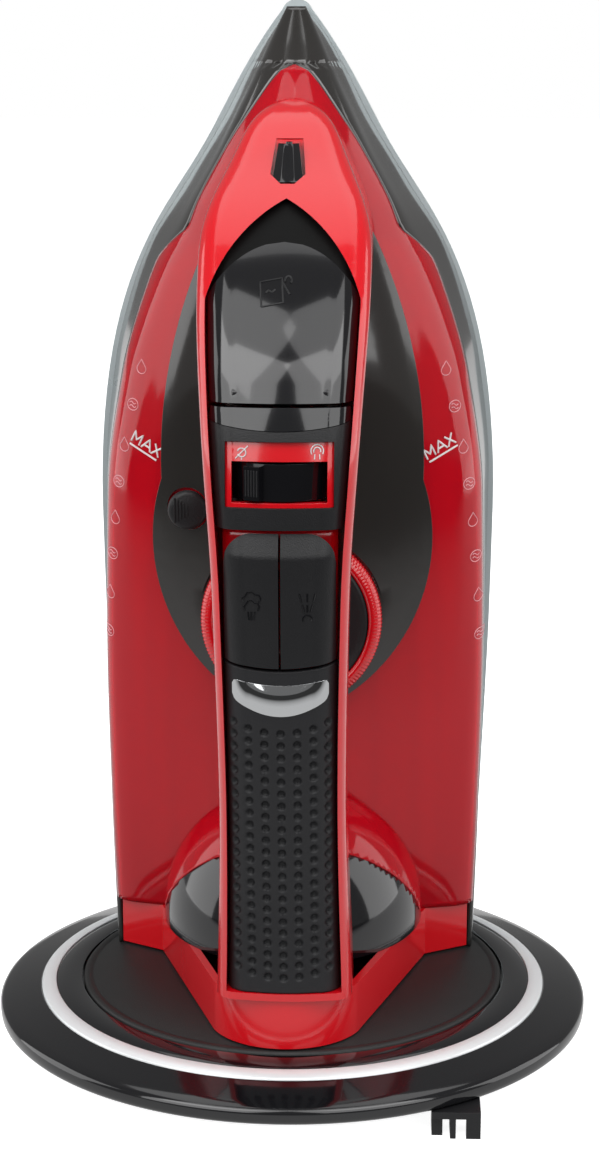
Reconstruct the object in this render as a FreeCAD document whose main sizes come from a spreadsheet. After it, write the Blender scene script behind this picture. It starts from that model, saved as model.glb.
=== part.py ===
"""A cordless steam iron standing on its heel on a round power base, as separate sub-parts.

The frame: +Z up through the iron's nose, X across, the handle towards -Y and the soleplate towards
+Y. The origin is the centre of the power base on the surface it stands on. Heights on the iron are
counted from the plane its heel stands on, and everything is in millimetres.
"""
import FreeCAD
import Part
import Sketcher
import math
import os
from FreeCAD import Vector

doc = FreeCAD.newDocument("steam_iron")

driving = {
    "heel": 18,               # plane the heel stands on, above the table
    "dock_radius": 88,        # outer edge of the power base
    "dock_edge": 8,           # underside of the rim
    "dock_rim": 12.4,         # top of the rim
    "ring_outer": 75.6,       # silver ring
    "ring_inner": 71.2,
    "table_radius": 62.9,     # turning plate that the heel rests on
    "table_bore": 17,
    "plug_radius": 13.7,      # round power connector
    "plug_rise": 9,           # its height above the heel plane
    "plug_gap": 0.6,          # running gap round it
    "iron_length": 285.5,     # heel plane to the tip of the soleplate
    "sole_face": 46,          # ironing face of the soleplate
    "sole_thick": 4,
    "skin": 2.2,              # thickness of the moulded shells
    "tank_foot": 15.3,        # bottom of the tank and top of the heel band
    "tank_top": 267.5,        # nose end of the tank
    "dial_height": 110,
    "dial_radius": 26.5,
    "dial_seat": -3.5,        # plane that the dial turns on
    "dial_front": -10,
    "shaft_radius": 3,
    "clean_height": 142,      # self-clean button
    "clean_side": -30,
    "valve_height": 181,      # steam valve
    "neck_height": 205,       # water inlet
    "neck_radius": 7,
    "hose_height": 192,
    "hose_side": 13,
    "lever_height": 165.6,
    "lever_depth": -70.9,       # axis of the steam lever
    "lever_radius": 14.6,
    "button_low": 116,
    "button_high": 153,
    "button_side": 14.6,      # outer side of each button
    "pump_height": 134.5,
    "pump_side": 7.4,
    "nozzle_height": 241.5,
    "hinge_height": 187,      # hinge of the inlet door
    "hinge_depth": -77.2,
    "hinge_radius": 2.3,
    "cover_gap": 0.35,        # gap round each moving piece
}

size = doc.addObject("Spreadsheet::Sheet", "Size")
for row, (alias, number) in enumerate(driving.items(), start=1):
    size.set(f"A{row}", alias)
    size.set(f"B{row}", str(number))
    size.setAlias(f"B{row}", alias)
doc.recompute()


def value(text):
    """The number that an expression on the sheet gives."""
    result = size.evalExpression(str(text))
    return float(getattr(result, "Value", result))


heel = value("Size.heel")
skin = value("Size.skin")
gap = value("Size.cover_gap")
turns = {
    "+Z": FreeCAD.Rotation(),
    "+Y": FreeCAD.Rotation(Vector(1, 0, 0), -90),
    "+X": FreeCAD.Rotation(Vector(0, 1, 0), 90),
}
subparts = []


# ---------------------------------------------------------------- document helpers

def at(item, place, axis="+Z"):
    """Stand an object at a place given by three expressions, with its own Z along axis."""
    item.Placement = FreeCAD.Placement(Vector(), turns[axis])
    for name, text in zip("xyz", place):
        item.setExpression("Placement.Base." + name, str(text))
    return item


def rod(label, radius, length, place, axis="+Z"):
    item = doc.addObject("Part::Cylinder", label)
    item.setExpression("Radius", str(radius))
    item.setExpression("Height", str(length))
    return at(item, place, axis)


def block(label, sides, corner):
    item = doc.addObject("Part::Box", label)
    for name, text in zip(("Length", "Width", "Height"), sides):
        item.setExpression(name, str(text))
    return at(item, corner)


def fused(label, items):
    item = doc.addObject("Part::MultiFuse", label)
    item.Shapes = items
    return item


def cut(label, base, tool):
    item = doc.addObject("Part::Cut", label)
    item.Base = base
    item.Tool = tool
    return item


def tube(label, outer, inner, length, place, axis="+Z"):
    return cut(label, rod(label + "_outer", outer, length, place, axis),
               rod(label + "_bore", inner, length, place, axis))


def turned(label, outline):
    """A body turned about Z from (radius, height) corners given as expressions."""
    body = doc.addObject("PartDesign::Body", label)
    plane = next(f for f in body.Origin.OriginFeatures if f.Role == "XZ_Plane")
    sketch = body.newObject("Sketcher::SketchObject", label + "_outline")
    sketch.AttachmentSupport = [(plane, "")]
    sketch.MapMode = "FlatFace"
    corners = [Vector(value(r), value(z), 0) for r, z in outline]
    for start, end in zip(corners, corners[1:] + corners[:1]):
        sketch.addGeometry(Part.LineSegment(start, end), False)
    count = len(corners)
    for index, (radius, height) in enumerate(outline):
        sketch.addConstraint(Sketcher.Constraint("Coincident", index, 2, (index + 1) % count, 1))
        for kind, text in (("DistanceX", radius), ("DistanceY", height)):
            number = sketch.addConstraint(Sketcher.Constraint(kind, -1, 1, index, 1, value(text)))
            sketch.setExpression(f"Constraints[{number}]", str(text))
    turn = body.newObject("PartDesign::Revolution", label + "_turn")
    turn.Profile = sketch
    turn.ReferenceAxis = (sketch, ["V_Axis"])
    turn.Angle = 360
    return body


def moulded(label, shape):
    """A freely curved sub-part, whose shape is worked out below from the sheet."""
    item = doc.addObject("Part::Feature", label)
    item.Shape = shape
    return item


def keep(*items):
    subparts.extend(items)


# ---------------------------------------------------------------- curve helpers

def curve(points):
    """A smooth function through (height, value) points that never overshoots them."""
    spans = list(zip(points, points[1:]))
    slopes = [(b[1] - a[1]) / (b[0] - a[0]) for a, b in spans]
    tangents = [slopes[0]]
    for before, after in zip(slopes, slopes[1:]):
        same = before * after > 0
        tangents.append(2 * before * after / (before + after) if same else 0.0)
    tangents.append(slopes[-1])

    def follow(height):
        index = sum(1 for point in points[1:-1] if height >= point[0])
        (h0, v0), (h1, v1) = spans[index]
        span = h1 - h0
        t = (height - h0) / span
        rise = (2 * t**3 - 3 * t**2 + 1) * v0 + (3 * t**2 - 2 * t**3) * v1
        lean = (t**3 - 2 * t**2 + t) * tangents[index] + (t**3 - t**2) * tangents[index + 1]
        return rise + span * lean

    return follow


def levels(low, high, step):
    count = max(2, round((high - low) / step))
    return [low + (high - low) * index / count for index in range(count + 1)]


def loft(sections):
    return Part.makeLoft(sections, True, False)


def box(x, y, z):
    """A box from three (low, high) ranges, its heights counted from the heel plane."""
    corner = Vector(x[0], y[0], z[0] + heel)
    return Part.makeBox(x[1] - x[0], y[1] - y[0], z[1] - z[0], corner)


def pin(radius, x, height, low, high):
    """A round bar along Y."""
    return Part.makeCylinder(radius, high - low, Vector(x, low, height + heel), Vector(0, 1, 0))


def side_profile(points, half):
    """A prism across X from (y, height) corners."""
    corners = [Vector(-half, y, height + heel) for y, height in points]
    face = Part.Face(Part.makePolygon(corners + corners[:1]))
    return face.extrude(Vector(2 * half, 0, 0))


def front_profile(edges, low, high):
    """A prism along Y from edges drawn in the plane y = 0."""
    face = Part.Face(Part.Wire(edges))
    face.translate(Vector(0, low, 0))
    return face.extrude(Vector(0, high - low, 0))


def point(x, height):
    return Vector(x, 0, height + heel)


# ---------------------------------------------------------------- outlines of the iron

sole_half = curve([(-2, 55), (57, 57.9), (114, 59.7), (145, 60), (180, 56.5), (198, 52.1),
                   (215, 45.6), (233, 34.4), (251, 23.4), (268, 14.5), (278, 8.2), (286, 1.2)])
waist_half = curve([(-2, 55), (45, 56.3), (95, 57.2), (143, 56.4), (178, 51.5), (205, 43),
                    (225, 33.4), (245, 22), (262, 13.4), (274, 7.6), (284, 2.4)])
shoulder_half = curve([(-2, 53.5), (45, 54), (95, 53.2), (143, 49.5), (178, 42.5), (205, 34),
                       (225, 26), (245, 17.2), (262, 10), (274, 5.3), (284, 1.6)])
waist_depth = curve([(-2, 24), (205, 24), (245, 27), (262, 30), (284, 36)])
shoulder_depth = curve([(-2, 14), (45, 12), (95, 11), (143, 10), (225, 10), (245, 14),
                        (262, 21), (274, 28), (284, 34.6)])
face_depth = curve([(-2, 8), (45, 2), (95, -4), (143, -8), (178, -9), (205, -6), (225, -1),
                    (245, 6), (262, 16), (274, 26), (284, 34)])
handle_front = curve([(0, -61), (20, -62.5), (50, -69), (80, -75.5), (110, -81.5), (135, -84.8),
                      (155, -85.8), (172, -84.5), (190, -78), (207, -66), (222, -51),
                      (236, -32.5), (247, -14), (255, 2), (262, 15)])
handle_half = curve([(0, 19.4), (18, 18.8), (77, 17.1), (134, 17.9), (173, 20.2), (209, 22.7),
                     (218, 23), (226, 22.4), (234, 20), (243, 16.2), (252, 9.8), (256, 6), (258.5, 1.6),
                     (262, 1)])
insert_half = curve([(0, 16.4), (77, 14.9), (134, 15.7), (173, 18), (205, 20), (216, 20.4),
                     (226, 19.6), (234, 17.2), (252, 7)])


def hull_section(height, grow):
    """One slice of the body: flat behind, straight flanks, then a soft front."""
    z = height + heel
    base = sole_half(height) - 1.5 + grow
    waist = waist_half(height) + grow
    shoulder = shoulder_half(height) + 0.9 * grow
    depth = waist_depth(height)
    front = shoulder_depth(height) - 0.6 * grow
    apex = face_depth(height) - grow
    behind = value("Size.sole_face - Size.sole_thick")
    sides = []
    for side in (1, -1):
        bulge = Vector(side * ((waist + shoulder) / 2 + 0.6), (depth + front) / 2 - 0.2, z)
        low = Vector(side * base, behind, z)
        mid = Vector(side * waist, depth, z)
        top = Vector(side * shoulder, front, z)
        sides.append((low, mid, bulge, top))
    right, left = sides
    return Part.Wire([
        Part.makeLine(left[0], right[0]),
        Part.makeLine(right[0], right[1]),
        Part.Arc(right[1], right[2], right[3]).toShape(),
        Part.Arc(right[3], Vector(0, apex, z), left[3]).toShape(),
        Part.Arc(left[3], left[2], left[1]).toShape(),
        Part.makeLine(left[1], left[0]),
    ])


def hull(grow, low, high):
    return loft([hull_section(height, grow) for height in levels(low, high, 14)])


def bar_section(height, half, front):
    """One slice of the handle: square behind, with rounded front corners and a slight crown."""
    z = height + heel
    corner = min(6.5, 0.45 * half)
    crown = 0.06 * half
    lean = corner * (1 - math.sqrt(0.5))
    behind = 30
    sides = []
    for side in (1, -1):
        sides.append((Vector(side * half, behind, z), Vector(side * half, front + corner, z),
                      Vector(side * (half - lean), front + lean, z),
                      Vector(side * (half - corner), front, z)))
    right, left = sides
    return Part.Wire([
        Part.makeLine(left[0], right[0]),
        Part.makeLine(right[0], right[1]),
        Part.Arc(right[1], right[2], right[3]).toShape(),
        Part.Arc(right[3], Vector(0, front - crown, z), left[3]).toShape(),
        Part.Arc(left[3], left[2], left[1]).toShape(),
        Part.makeLine(left[1], left[0]),
    ])


def bar(half, inset, sink, low, high):
    """A bar that follows the handle's front, its sides inset and its front sunk by so much."""
    sections = [bar_section(height, half(height) - inset, handle_front(height) + sink)
                for height in levels(low, high, 12)]
    return loft(sections)


def sole_edges(inset, low):
    """The soleplate's outline, drawn in by inset, closed by a straight heel edge."""
    tip = value("Size.iron_length") - 2.1 * inset
    right = [point(sole_half(height) - inset, height) for height in levels(low, tip - 3, 20)]
    side = Part.BSplineCurve()
    side.interpolate(right)
    other = Part.BSplineCurve()
    other.interpolate([Vector(-corner.x, 0, corner.z) for corner in right])
    nose = Part.Arc(right[-1], point(0, tip), Vector(-right[-1].x, 0, right[-1].z))
    heel_edge = Part.makeLine(Vector(-right[0].x, 0, right[0].z), right[0])
    return [heel_edge, side.toShape(), nose.toShape(), other.toShape()]


hull_outer = hull(0, 0, 284)
hull_inner = hull(-skin, -1, 280)
tank_line = [(17.4, 15.3), (18.5, 79), (21, 155), (24.5, 203), (25, 211), (20, 216.2), (13, 221.8),
             (14, 230), (15.5, 240.4), (16.3, 251.5), (18.8, 263.3), (20.2, 267.5)]
finger_gap = [(45, -12), (-37, -12), (-37, 26), (-43, 50), (-49.5, 80), (-55.5, 112),
              (-58.5, 138), (-57.5, 153), (-52, 164), (-43, 170), (-32, 172), (45, 172)]


def gap_prism(shrink):
    """The space for the fingers, made smaller all round by shrink for the shell's inside."""
    corners = [(y - shrink if y < 0 else y, height + (shrink if height > 150 else 0))
               for y, height in finger_gap]
    return side_profile(corners, 40)


# ---------------------------------------------------------------- power base

def build_dock():
    top = turned("base_top_disc", [
        ("Size.dock_radius", "Size.dock_edge"), ("Size.dock_radius", "Size.dock_rim"),
        ("Size.ring_outer", "15.6"), ("Size.ring_outer", "14.4"),
        ("Size.ring_inner", "15.5"), ("Size.ring_inner", "16.7"),
        ("Size.table_radius + 0.6", "17.6"), ("Size.table_radius + 0.6", "14"),
        ("Size.plug_radius + 1.4", "14"), ("Size.plug_radius + 1.4", "11.8"),
        ("62", "11.8"), ("70", "12.4"), ("Size.dock_radius - 2.4", "9.8"),
        ("Size.dock_radius - 2.4", "Size.dock_edge")])
    ring = turned("trim_ring", [
        ("Size.ring_outer", "14.4"), ("Size.ring_outer", "15.9"),
        ("Size.ring_inner", "17"), ("Size.ring_inner", "15.5")])
    tray = turned("base_tray_disc", [
        ("0", "3"), ("77", "3"), ("84", "Size.dock_edge"), ("81.4", "Size.dock_edge"),
        ("76", "5.2"), ("0", "5.2")])
    table = turned("turntable", [
        ("Size.table_bore", "14.4"), ("Size.table_radius", "14.4"),
        ("Size.table_radius", "17.4"), ("Size.table_radius - 0.6", "Size.heel"),
        ("Size.table_bore", "Size.heel")])
    glide = turned("glide_ring", [("20", "14"), ("24", "14"), ("24", "14.4"), ("20", "14.4")])
    plug = turned("power_connector", [
        ("2.6", "5.2"), ("Size.plug_radius", "5.2"),
        ("Size.plug_radius", "Size.heel + Size.plug_rise - 1"),
        ("Size.plug_radius - 1", "Size.heel + Size.plug_rise"),
        ("8.8", "Size.heel + Size.plug_rise"), ("8.8", "Size.heel"),
        ("6.4", "Size.heel"), ("6.4", "Size.heel + Size.plug_rise"),
        ("2.6", "Size.heel + Size.plug_rise")])
    contacts = turned("connector_contacts", [
        ("8.4", "Size.heel"), ("8.8", "Size.heel"),
        ("8.8", "Size.heel + Size.plug_rise - 2"), ("8.4", "Size.heel + Size.plug_rise - 2")])

    feet, posts, pilots, heads, sinks = [], [], [], [], []
    for index in range(4):
        turn = math.radians(45 + 90 * index)
        x, y = math.cos(turn), math.sin(turn)
        foot = (f"66 * {x:.4f}", f"66 * {y:.4f}")
        feet.append(rod(f"base_foot_{index}", 7, 3, foot + (0,)))
        post = (f"46 * {x:.4f}", f"46 * {y:.4f}")
        posts.append(rod(f"base_post_{index}", 4, 6.9, post + (5.2,)))
        pilots.append(rod(f"base_pilot_{index}", 1.5, 5.8, post + (5.2,)))
        heads.append(fused(f"base_screw_{index}", [
            rod(f"base_screw_head_{index}", 3, 1.4, post + (3,)),
            rod(f"base_screw_stem_{index}", 1.5, 7, post + (4,))]))
        sinks.append(fused(f"base_sink_{index}", [
            rod(f"base_sink_head_{index}", 3, 1.4, post + (3,)),
            rod(f"base_sink_stem_{index}", 1.5, 2, post + (4,))]))
    whole_top = fused("base_top_posts", [top] + posts)
    top = cut("base_top", whole_top, fused("base_pilots", pilots))
    tray = cut("base_tray", tray, fused("base_sinks", sinks))

    arm = block("guide_arm", (13.4, 17, 2), (41, -78, 5.9))
    rib = block("guide_rib", (3, 9, 6), (41, -76, 0.2))
    prongs = [block(f"guide_prong_{index}", (1.6, 9, 6), (x, -78, 0.2))
              for index, x in enumerate((46, 52.8))]
    lip = block("guide_lip", (2.4, 1.6, 6), (50.4, -78, 0.2))
    bracket = fused("guide_blank", [arm, rib, lip] + prongs)
    disc = turned("guide_relief", [("0", "2.9"), ("77.1", "2.9"), ("84.1", "8"), ("0", "8")])
    guide = cut("cord_guide", bracket, disc)
    keep(top, ring, tray, table, glide, plug, contacts, guide,
         fused("base_feet", feet), fused("base_screws", heads))


# ---------------------------------------------------------------- soleplate and steam chamber

def build_sole():
    face = value("Size.sole_face")
    back = value("Size.sole_face - Size.sole_thick")
    plate = front_profile(sole_edges(0, 2), back, face)
    for height in levels(60, 215, 17):
        for inset in (9, 17):
            for side in (1, -1):
                x = side * (sole_half(height) - inset)
                plate = plate.cut(pin(1.5, x, height, back - 1, face + 1))
    for height in levels(232, 262, 10):
        plate = plate.cut(pin(1.5, 0, height, back - 1, face + 1))

    leg, depth, foot, bend = 32, 36, heel + 20, heel + 168
    path = Part.Wire([
        Part.makeLine(Vector(leg, depth, foot), Vector(leg, depth, bend)),
        Part.Arc(Vector(leg, depth, bend), Vector(0, depth, bend + leg),
                 Vector(-leg, depth, bend)).toShape(),
        Part.makeLine(Vector(-leg, depth, bend), Vector(-leg, depth, foot))])
    ring = Part.Wire(Part.makeCircle(3.5, Vector(leg, depth, foot), Vector(0, 0, 1)))
    element = path.makePipeShell([ring], True, True)
    chamber = front_profile(sole_edges(9, 30), 31, back).cut(element)
    cover = front_profile(sole_edges(11, 32), 29.4, 31)
    shield = front_profile(sole_edges(9, 22), 25.4, 26.2)
    for radius, x, height in ((3.8, 0, value("Size.valve_height")),
                              (3.4, 0, value("Size.dial_height")),
                              (2.4, value("Size.clean_side"), value("Size.clean_height")),
                              (3.2, -value("Size.hose_side"), value("Size.hose_height"))):
        shield = shield.cut(pin(radius, x, height, 20, 29.4))
        if radius in (3.8, 3.2):
            cover = cover.cut(pin(radius - 0.6, x, height, 28, 32))
    keep(moulded("soleplate", plate), moulded("heating_element", element),
         moulded("steam_chamber", chamber), moulded("chamber_cover", cover),
         moulded("heat_shield", shield))
    thermostat = rod("thermostat", 9, 2.6, (0, 26.8, "Size.heel + Size.dial_height"), "+Y")
    fuse = rod("thermal_fuse", 1.4, 20, (24, 28, "Size.heel + 60"))
    keep(thermostat, fuse)


# ---------------------------------------------------------------- skirt, tank and panel

def tank_prism(grow):
    """The region in front of the line where the clear tank meets the skirt."""
    line = [(y + grow, height) for y, height in tank_line]
    return side_profile([(-45, line[0][1])] + line + [(-45, line[-1][1])], 75)


def build_shell():
    low = value("Size.tank_foot")
    shell = hull_outer.cut(hull_inner)
    front = tank_prism(0).fuse(box((-75, 75), (-60, 17.4), (-5, low)))
    skirt = shell.cut(front)

    outer = hull_outer.common(tank_prism(0))
    inner = hull_inner.common(tank_prism(-2)).common(box((-80, 80), (-60, 60), (low + 2, 265)))
    tank = outer.cut(inner)
    dial = value("Size.dial_height")
    clean = (value("Size.clean_side"), value("Size.clean_height"))
    seat = value("Size.dial_seat")
    passages = [(3.3, 0, value("Size.valve_height"), 6.4), (3.5, 0, dial, 6.4),
                (2.3, *clean, 5), (2.7, -value("Size.hose_side"), value("Size.hose_height"), 5)]
    recess = pin(value("Size.dial_radius + 0.5"), 0, dial, -30, seat)
    pocket = pin(6.2, *clean, -30, 2.2)
    for bore, x, height, wall in passages:
        sleeve = pin(wall, x, height, -30, 40).common(outer)
        tank = tank.fuse(sleeve)
    floor = pin(value("Size.dial_radius + 3"), 0, dial, -30, seat + 2.2).common(outer)
    tank = tank.fuse([floor, pin(8.4, *clean, -30, 4.2).common(outer)])
    holes = [pin(bore, x, height, -40, 45) for bore, x, height, wall in passages]
    holes.append(pin(value("Size.neck_radius - 1.5"), 0, value("Size.neck_height"), -30, 0))
    tank = tank.cut(holes + [recess, pocket])

    half = 38
    outline = [
        Part.Arc(point(0, 79), point(31, 101), point(half, 150)).toShape(),
        Part.Arc(point(half, 150), point(34.5, 188), point(21, 225)).toShape(),
        Part.makeLine(point(21, 225), point(-21, 225)),
        Part.Arc(point(-21, 225), point(-34.5, 188), point(-half, 150)).toShape(),
        Part.Arc(point(-half, 150), point(-31, 101), point(0, 79)).toShape(),
    ]
    ogive = front_profile(outline, -40, 9)
    panel = hull(1.2, 60, 240).cut(hull_outer).common(ogive).cut([recess, pocket])
    panel = panel.cut(bar(handle_half, 0, 0, 170, 250))
    keep(moulded("skirt", skirt), moulded("water_tank", tank), moulded("dial_panel", panel))
    neck = tube("filler_neck", "Size.neck_radius", "Size.neck_radius - 1.5", 47.3,
                (0, -55.5, "Size.heel + Size.neck_height"), "+Y")
    seal = tube("neck_seal", "Size.neck_radius + 1.6", "Size.neck_radius", 1.4,
                (0, -9.6, "Size.heel + Size.neck_height"), "+Y")
    keep(neck, seal)


# ---------------------------------------------------------------- handle

def hose(route, radius):
    """A round bar through the route's points, with a ball at each bend."""
    bars = []
    for start, end in zip(route, route[1:]):
        bars.append(Part.makeCylinder(radius, (end - start).Length, start, end - start))
    balls = [Part.makeSphere(radius, bend) for bend in route[1:-1]]
    return bars[0].fuse(bars[1:] + balls)


def nozzle_block(grow):
    """The spray nozzle: a tapered block that points up the iron's nose."""
    sections = []
    for height, half, front, back in ((237.4, 4.2, -31, -20), (247.2, 2.8, -23, -13)):
        z = heel + height + (grow if height > 240 else -grow)
        corners = [Vector(-half - grow, back, z), Vector(-half - grow, front + 1.6, z),
                   Vector(-half * 0.45, front - grow, z), Vector(half * 0.45, front - grow, z),
                   Vector(half + grow, front + 1.6, z), Vector(half + grow, back, z)]
        sections.append(Part.makePolygon(corners + corners[:1]))
    return Part.makeLoft(sections, True, True)


def door_arch(grow):
    """The region inside the inlet door's arched upper edge, widened by grow."""
    half, shoulder, crown = 21 + grow, 208.5, 223.5 + grow
    edges = [
        Part.makeLine(point(-half, 170), point(half, 170)),
        Part.makeLine(point(half, 170), point(half, shoulder)),
        Part.Arc(point(half, shoulder), point(14 + grow, 218), point(0, crown)).toShape(),
        Part.Arc(point(0, crown), point(-14 - grow, 218), point(-half, shoulder)).toShape(),
        Part.makeLine(point(-half, shoulder), point(-half, 170)),
    ]
    return front_profile(edges, -120, 0)


def ogive(inset):
    """The region inside the pointed arch that ends the handle's channel below the nozzle."""
    half = 24
    top = 233.6 - inset
    edges = [
        Part.makeLine(point(-half, 10), point(half, 10)),
        Part.makeLine(point(half, 10), point(half, 195)),
        Part.makeLine(point(half, 195), point(20.4 - inset, 209)),
        Part.Arc(point(20.4 - inset, 209), point(13.6 - inset, 222.6), point(0, top)).toShape(),
        Part.Arc(point(0, top), point(inset - 13.6, 222.6), point(inset - 20.4, 209)).toShape(),
        Part.makeLine(point(inset - 20.4, 209), point(-half, 195)),
        Part.makeLine(point(-half, 195), point(-half, 10)),
    ]
    return front_profile(edges, -120, 60)


def below_smile(drop):
    """The region under the curved seam between the glossy sill and the handle's cover."""
    edges = [
        Part.Arc(point(-24, 182.4 - drop), point(0, 178.6 - drop), point(24, 182.4 - drop)).toShape(),
        Part.makeLine(point(24, 182.4 - drop), point(24, 100)),
        Part.makeLine(point(24, 100), point(-24, 100)),
        Part.makeLine(point(-24, 100), point(-24, 182.4 - drop)),
    ]
    return front_profile(edges, -120, 0)


def slice_of(half, inset, sink, thick, low, high):
    """A curved plate of the handle's front between two heights."""
    outside = bar(half, inset, sink, low - 6, high + 6)
    inside = bar(half, inset - 1, sink + thick, low - 8, high + 8)
    deepest = max(handle_front(low), handle_front(high)) + sink + thick + 1
    return outside.cut(inside).common(box((-40, 40), (-120, deepest), (low, high)))


def build_handle():
    block_shape = bar(handle_half, 0, 0, 12, 258).common(box((-60, 60), (-120, 60), (15.3, 258)))
    block_shape = block_shape.cut([gap_prism(0), hull_outer])
    channel = bar(insert_half, 0, -8, 17.5, 234).common(ogive(0))
    channel = channel.cut([gap_prism(2.4), box((-40, 40), (-38, 60), (0, 30))])
    frame = block_shape.cut(channel)
    frame = frame.cut([nozzle_block(0.9), nozzle_block(0), pin(2.8, 0, value("Size.nozzle_height"), -26, 8)])
    frame = max(frame.Solids, key=lambda solid: solid.Volume)
    frame = frame.cut(hull(1.25, 60, 240).common(box((-45, 45), (-40, 30), (165, 226))))

    arch = slice_of(insert_half, 0, 2.7, 2, 200, 234).common(ogive(0))
    cover = slice_of(insert_half, 0, 0, 2.4, 153.5, 183).common(below_smile(0.15))
    sill = slice_of(insert_half, 0, 0, 2.2, 176, value("Size.hinge_height - Size.hinge_radius") - 0.4)
    sill = sill.cut(below_smile(0))
    cover = cover.cut(box((-13.9, 13.9), (-120, 0), (159.2, 176)))
    bezel = slice_of(insert_half, 0, 0.9, 2.2, 159.2, 176).common(
        box((-13.9, 13.9), (-120, 0), (159.2, 176)))
    bezel = bezel.cut(box((-12.2, 12.2), (-120, 0), (160.4, 170.9)))
    grip = slice_of(insert_half, 0, 0, 2.6, 17.6, 115.4)
    window = box((-12.9, 12.9), (-120, 0), (102.5, 113.2))
    grip = grip.cut(window)
    lens = slice_of(insert_half, 0, 0.3, 2.4, 102.5, 113.2).common(window)
    high = heel + value("Size.nozzle_height")
    spray = hose([Vector(13, -60.5, heel + 150), Vector(13, -60.5, heel + 180),
                  Vector(13, -36, heel + 213), Vector(0, -6, high - 4.6)], 2.2)
    side, top = value("Size.hose_side"), heel + value("Size.hose_height")
    steam = hose([Vector(-side, -60.5, heel + 150), Vector(-side, -60.5, top),
                  Vector(-side, 25, top)], 2.2)
    frame = frame.cut([spray, steam])
    pieces = (("arch_bezel", arch), ("handle_cover", cover), ("door_sill", sill),
              ("grip_cover", grip))
    keep(moulded("handle_frame", frame), moulded("slider_bezel", bezel),
         moulded("indicator_lens", lens), moulded("spray_hose", spray),
         moulded("steam_hose", steam))
    keep(*[moulded(name, shape.cut(frame)) for name, shape in pieces])
    keep(rod("indicator_lamp", 2.5, 8, (0, -78, "Size.heel + 108"), "+Y"))


def build_controls():
    depth, height = value("Size.hinge_depth"), value("Size.hinge_height")
    radius = value("Size.hinge_radius")
    door = slice_of(insert_half, gap, 0, 2.2, height, 226).common(door_arch(0)).common(ogive(gap))
    barrel = Part.makeCylinder(radius, 44, Vector(-22, depth, height + heel), Vector(1, 0, 0))
    bore = Part.makeCylinder(0.85, 44, Vector(-22, depth, height + heel), Vector(1, 0, 0))
    door = door.fuse(barrel.common(bar(insert_half, gap, 0, 160, 220))).cut(bore)
    hinge = rod("door_hinge_pin", 0.8, 31, (-15.5, "Size.hinge_depth",
                                            "Size.heel + Size.hinge_height"), "+X")
    keep(moulded("inlet_door", door), hinge)

    for name, side in (("steam", -1), ("spray", 1)):
        inner, outer = 0.3, value("Size.button_side")
        reach = (inner, outer) if side > 0 else (-outer, -inner)
        cap = bar(insert_half, gap, -0.9, 110, 160).cut(bar(insert_half, -1, 3.2, 108, 162))
        cap = cap.common(box(reach, (-120, 0), (value("Size.button_low"),
                                                value("Size.button_high"))))
        place = (f"{side} * Size.pump_side", -82.4, "Size.heel + Size.pump_height")
        piston = rod(f"{name}_piston", 3.3, 14, place, "+Y")
        keep(moulded(f"{name}_button", cap.cut(pin(3.3, side * value("Size.pump_side"),
                                                    value("Size.pump_height"), -82.4, -60))), piston)
        body = tube(f"{name}_pump", 5, 3.38, 9.6,
                    (f"{side} * Size.pump_side", -71.8, "Size.heel + Size.pump_height"), "+Y")
        keep(body)

    tall = 9.6
    radius = value("Size.lever_radius")
    centre = Vector(0, value("Size.lever_depth"), value("Size.heel + Size.lever_height") - tall / 2)
    drum = Part.makeCylinder(radius, tall, centre, Vector(0, 0, 1), 170)
    drum.rotate(centre, Vector(0, 0, 1), -198)
    tab = box((-2.2, 2.2), (-87.7, -83), (value("Size.lever_height") - tall / 2 + 0.4,
                                           value("Size.lever_height") + tall / 2 - 0.4))
    tab.rotate(centre, Vector(0, 0, 1), -25)
    stem = Part.makeCylinder(2.5, 8, centre + Vector(0, 0, tall))
    lever = drum.fuse([tab, stem])
    lever = lever.cut(Part.makeCylinder(10.4, tall - 2, centre))
    keep(moulded("steam_lever", lever))
    valve = rod("valve_rod", 2.5, 93.3, (0, -64.9, "Size.heel + Size.valve_height"), "+Y")
    seat = tube("valve_seat", 4.4, 2.7, 1.6, (0, 27.7, "Size.heel + Size.valve_height"), "+Y")
    keep(valve, seat)

    dial = tube("temperature_dial", "Size.dial_radius", "Size.dial_radius - 4.2",
                "Size.dial_seat - Size.dial_front - 0.3",
                (0, "Size.dial_front", "Size.heel + Size.dial_height"), "+Y")
    cap = rod("dial_cap", "Size.dial_radius - 4.2", "Size.dial_seat - Size.dial_front - 0.8",
              (0, "Size.dial_front + 0.5", "Size.heel + Size.dial_height"), "+Y")
    shaft = rod("dial_shaft", "Size.shaft_radius", 30.4,
                (0, "Size.dial_seat - 0.3", "Size.heel + Size.dial_height"), "+Y")
    keep(dial, cap, shaft)
    button = fused("self_clean_button", [
        rod("clean_cap", 5.8, 4.4, ("Size.clean_side", -6.4, "Size.heel + Size.clean_height"), "+Y"),
        rod("clean_stem", 2, 26, ("Size.clean_side", -3, "Size.heel + Size.clean_height"), "+Y")])
    keep(button)


def build_water():
    high = value("Size.nozzle_height")
    stem = pin(2.4, 0, high, -22, 2)
    bore = Part.makeCylinder(0.9, 12, Vector(0, -18, high + heel - 3))
    nozzle = nozzle_block(0).fuse(stem).cut(bore)
    keep(moulded("spray_nozzle", nozzle))
    keep(tube("nozzle_tip", 0.9, 0.4, 3, (0, -18, "Size.heel + Size.nozzle_height + 3")))


# ---------------------------------------------------------------- heel

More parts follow.
